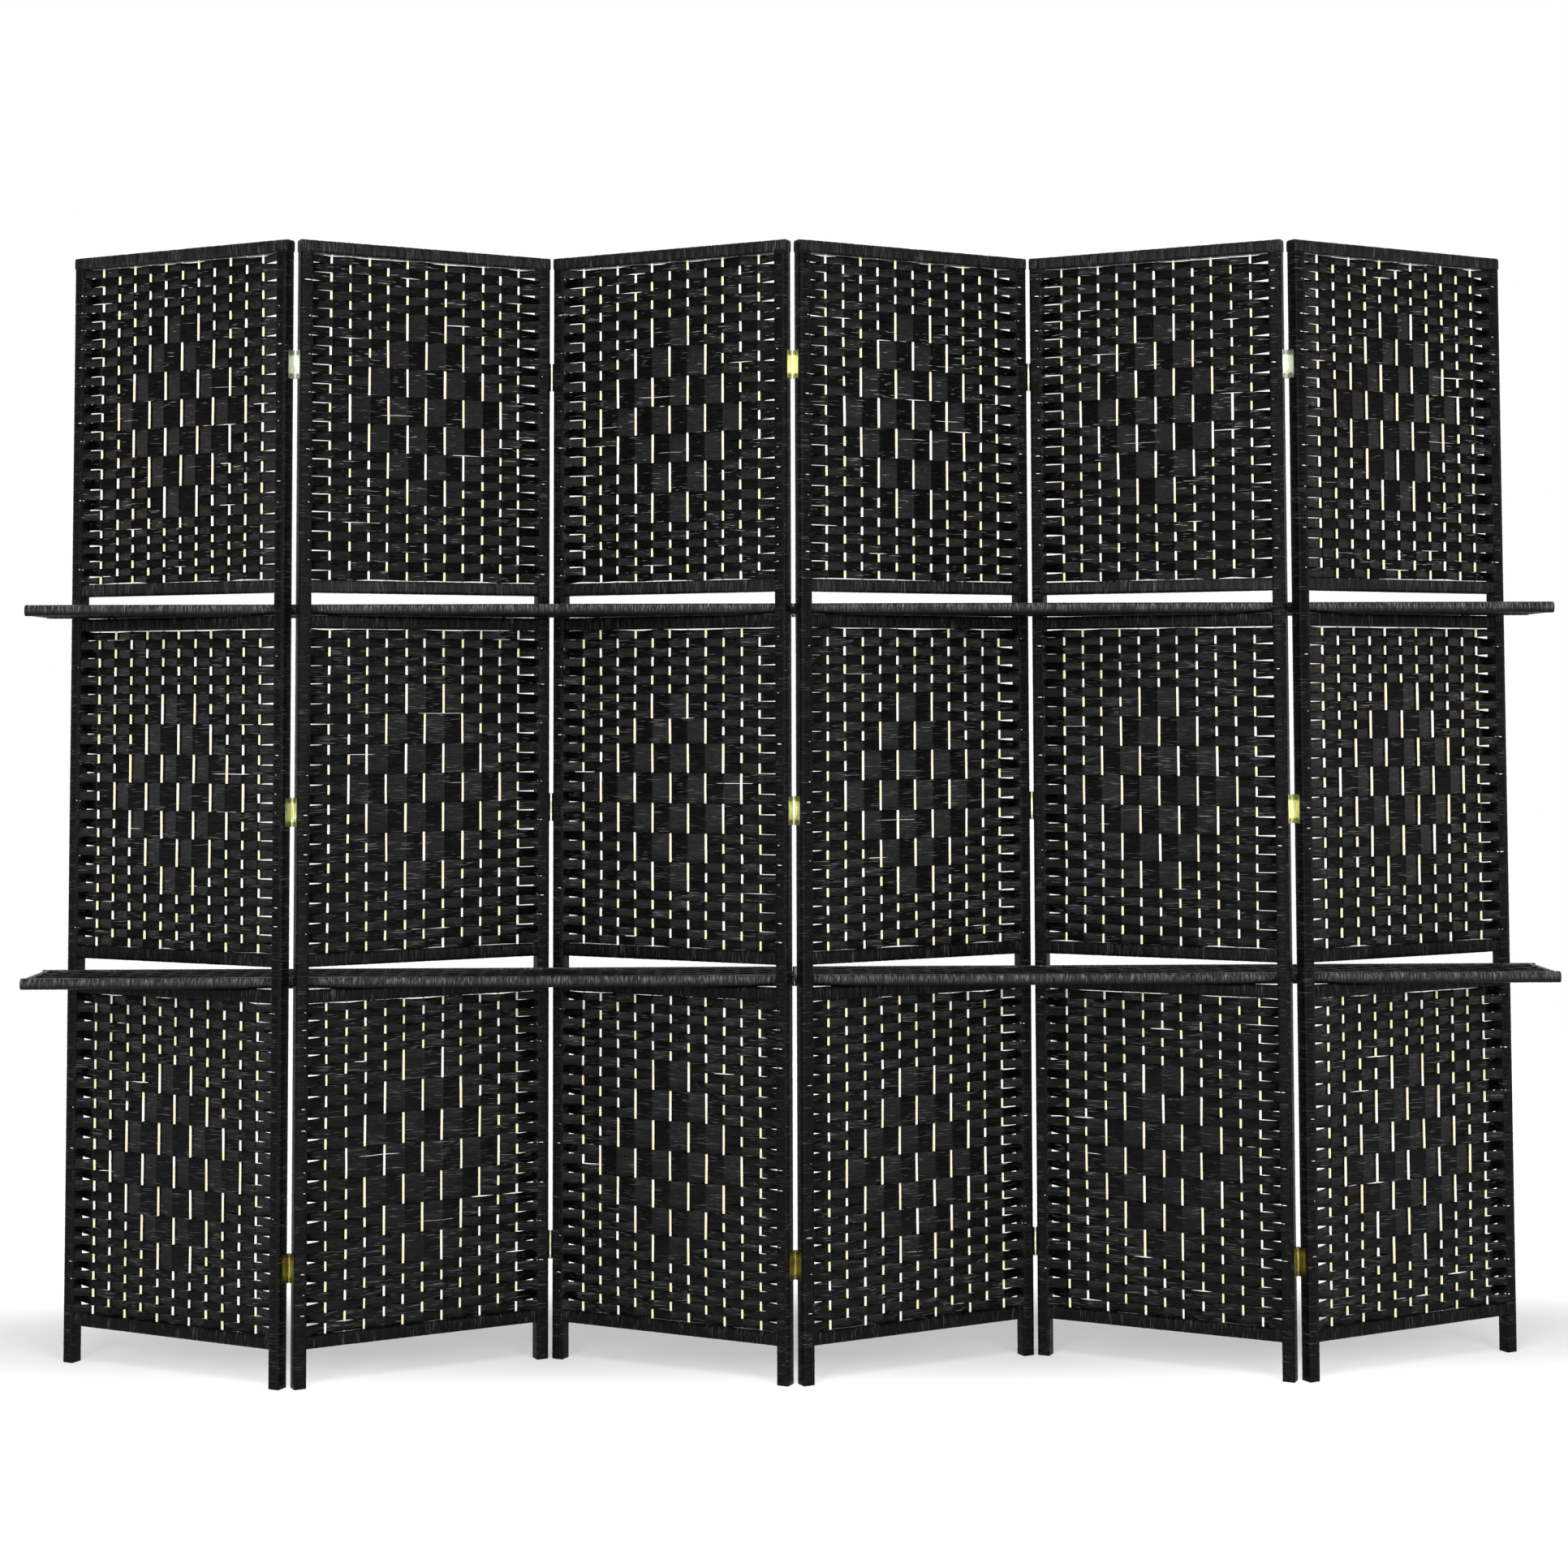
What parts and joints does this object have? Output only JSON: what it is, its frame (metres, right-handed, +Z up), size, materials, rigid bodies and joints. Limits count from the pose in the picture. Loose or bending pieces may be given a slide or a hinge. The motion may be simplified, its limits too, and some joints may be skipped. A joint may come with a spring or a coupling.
{
  "type": "folding screen with shelves",
  "caption": "Free-standing folding screen of woven panels in wrapped frames, hinged in a zigzag, with long woven shelf boards laid through slots between the rails.",
  "frame": {"origin": "on the floor, in the middle of the screen's box", "axes": "+X along the screen from left to right, +Y from the front to the back, +Z up"},
  "size_m": [2.3004, 0.1998, 1.7],
  "materials": {
    "wrapped_rope": "black paper rope wound round wooden bars, matte with a faint sheen",
    "woven_rope": "flat black paper rope woven round natural upright sticks",
    "shelf_rope": "black paper rope woven over a wooden board with a wrapped rim",
    "hinge_brass": "bright brass-plated sheet, lightly brushed"
  },
  "bodies": {
    "panel_1": {"panel_1_frame": "wrapped_rope", "panel_1_weave_lower": "woven_rope", "panel_1_weave_middle": "woven_rope", "panel_1_weave_upper": "woven_rope", "hinge_12_lower_pin_leaf": "hinge_brass", "hinge_12_middle_pin_leaf": "hinge_brass", "hinge_12_upper_pin_leaf": "hinge_brass"},
    "panel_2": {"panel_2_frame": "wrapped_rope", "panel_2_weave_lower": "woven_rope", "panel_2_weave_middle": "woven_rope", "panel_2_weave_upper": "woven_rope", "hinge_12_lower_sleeve_leaf": "hinge_brass", "hinge_12_middle_sleeve_leaf": "hinge_brass", "hinge_12_upper_sleeve_leaf": "hinge_brass", "hinge_23_lower_sleeve_leaf": "hinge_brass", "hinge_23_middle_sleeve_leaf": "hinge_brass", "hinge_23_upper_sleeve_leaf": "hinge_brass"},
    "panel_3": {"panel_3_frame": "wrapped_rope", "panel_3_weave_lower": "woven_rope", "panel_3_weave_middle": "woven_rope", "panel_3_weave_upper": "woven_rope", "hinge_23_lower_pin_leaf": "hinge_brass", "hinge_23_middle_pin_leaf": "hinge_brass", "hinge_23_upper_pin_leaf": "hinge_brass", "hinge_34_lower_pin_leaf": "hinge_brass", "hinge_34_middle_pin_leaf": "hinge_brass", "hinge_34_upper_pin_leaf": "hinge_brass"},
    "panel_4": {"panel_4_frame": "wrapped_rope", "panel_4_weave_lower": "woven_rope", "panel_4_weave_middle": "woven_rope", "panel_4_weave_upper": "woven_rope", "hinge_34_lower_sleeve_leaf": "hinge_brass", "hinge_34_middle_sleeve_leaf": "hinge_brass", "hinge_34_upper_sleeve_leaf": "hinge_brass", "hinge_45_lower_sleeve_leaf": "hinge_brass", "hinge_45_middle_sleeve_leaf": "hinge_brass", "hinge_45_upper_sleeve_leaf": "hinge_brass"},
    "panel_5": {"panel_5_frame": "wrapped_rope", "panel_5_weave_lower": "woven_rope", "panel_5_weave_middle": "woven_rope", "panel_5_weave_upper": "woven_rope", "hinge_45_lower_pin_leaf": "hinge_brass", "hinge_45_middle_pin_leaf": "hinge_brass", "hinge_45_upper_pin_leaf": "hinge_brass", "hinge_56_lower_pin_leaf": "hinge_brass", "hinge_56_middle_pin_leaf": "hinge_brass", "hinge_56_upper_pin_leaf": "hinge_brass"},
    "panel_6": {"panel_6_frame": "wrapped_rope", "panel_6_weave_lower": "woven_rope", "panel_6_weave_middle": "woven_rope", "panel_6_weave_upper": "woven_rope", "hinge_56_lower_sleeve_leaf": "hinge_brass", "hinge_56_middle_sleeve_leaf": "hinge_brass", "hinge_56_upper_sleeve_leaf": "hinge_brass"},
    "shelf_lower_left": {"shelf_lower_left": "shelf_rope"},
    "shelf_lower_right": {"shelf_lower_right": "shelf_rope"},
    "shelf_upper_left": {"shelf_upper_left": "shelf_rope"},
    "shelf_upper_right": {"shelf_upper_right": "shelf_rope"}
  },
  "joints": [
    {"name": "fold_34", "type": "hinge", "parent": "panel_3", "child": "panel_4", "pos_m": [0, -0.07905, 0.85], "axis": [0, 0, 1], "range_deg": [0, 122.8]},
    {"name": "fold_45", "type": "hinge", "parent": "panel_4", "child": "panel_5", "pos_m": [0.37333, 0.07905, 0.85], "axis": [0, 0, 1], "range_deg": [-122.8, 0]},
    {"name": "fold_56", "type": "hinge", "parent": "panel_5", "child": "panel_6", "pos_m": [0.74665, -0.07905, 0.85], "axis": [0, 0, 1], "range_deg": [0, 122.8]},
    {"name": "fold_23", "type": "hinge", "parent": "panel_3", "child": "panel_2", "pos_m": [-0.37333, 0.07905, 0.85], "axis": [0, 0, 1], "range_deg": [0, 122.8]},
    {"name": "fold_12", "type": "hinge", "parent": "panel_2", "child": "panel_1", "pos_m": [-0.74665, -0.07905, 0.85], "axis": [0, 0, 1], "range_deg": [-122.8, 0]},
    {"name": "shelf_turn", "type": "hinge", "parent": "panel_3", "child": "shelf_upper_left", "pos_m": [-0.01543, -0.08575, 1.1358], "axis": [0, 0, 1], "range_deg": [0, 61.4]},
    {"name": "pull_upper_right", "type": "slide", "parent": "shelf_upper_left", "child": "shelf_upper_right", "axis": [1, 0, 0], "range_m": [0, 0.5]},
    {"name": "pull_lower_left", "type": "slide", "parent": "shelf_upper_left", "child": "shelf_lower_left", "axis": [-1, 0, 0], "range_m": [0, 0.5]},
    {"name": "pull_lower_right", "type": "slide", "parent": "shelf_upper_left", "child": "shelf_lower_right", "axis": [1, 0, 0], "range_m": [0, 0.5]}
  ],
  "couplings": [
    {"joint": "fold_45", "follows": "fold_34", "ratio": -1},
    {"joint": "fold_56", "follows": "fold_34", "ratio": 1},
    {"joint": "fold_23", "follows": "fold_34", "ratio": 1},
    {"joint": "fold_12", "follows": "fold_34", "ratio": -1},
    {"joint": "shelf_turn", "follows": "fold_34", "ratio": 0.5}
  ]
}
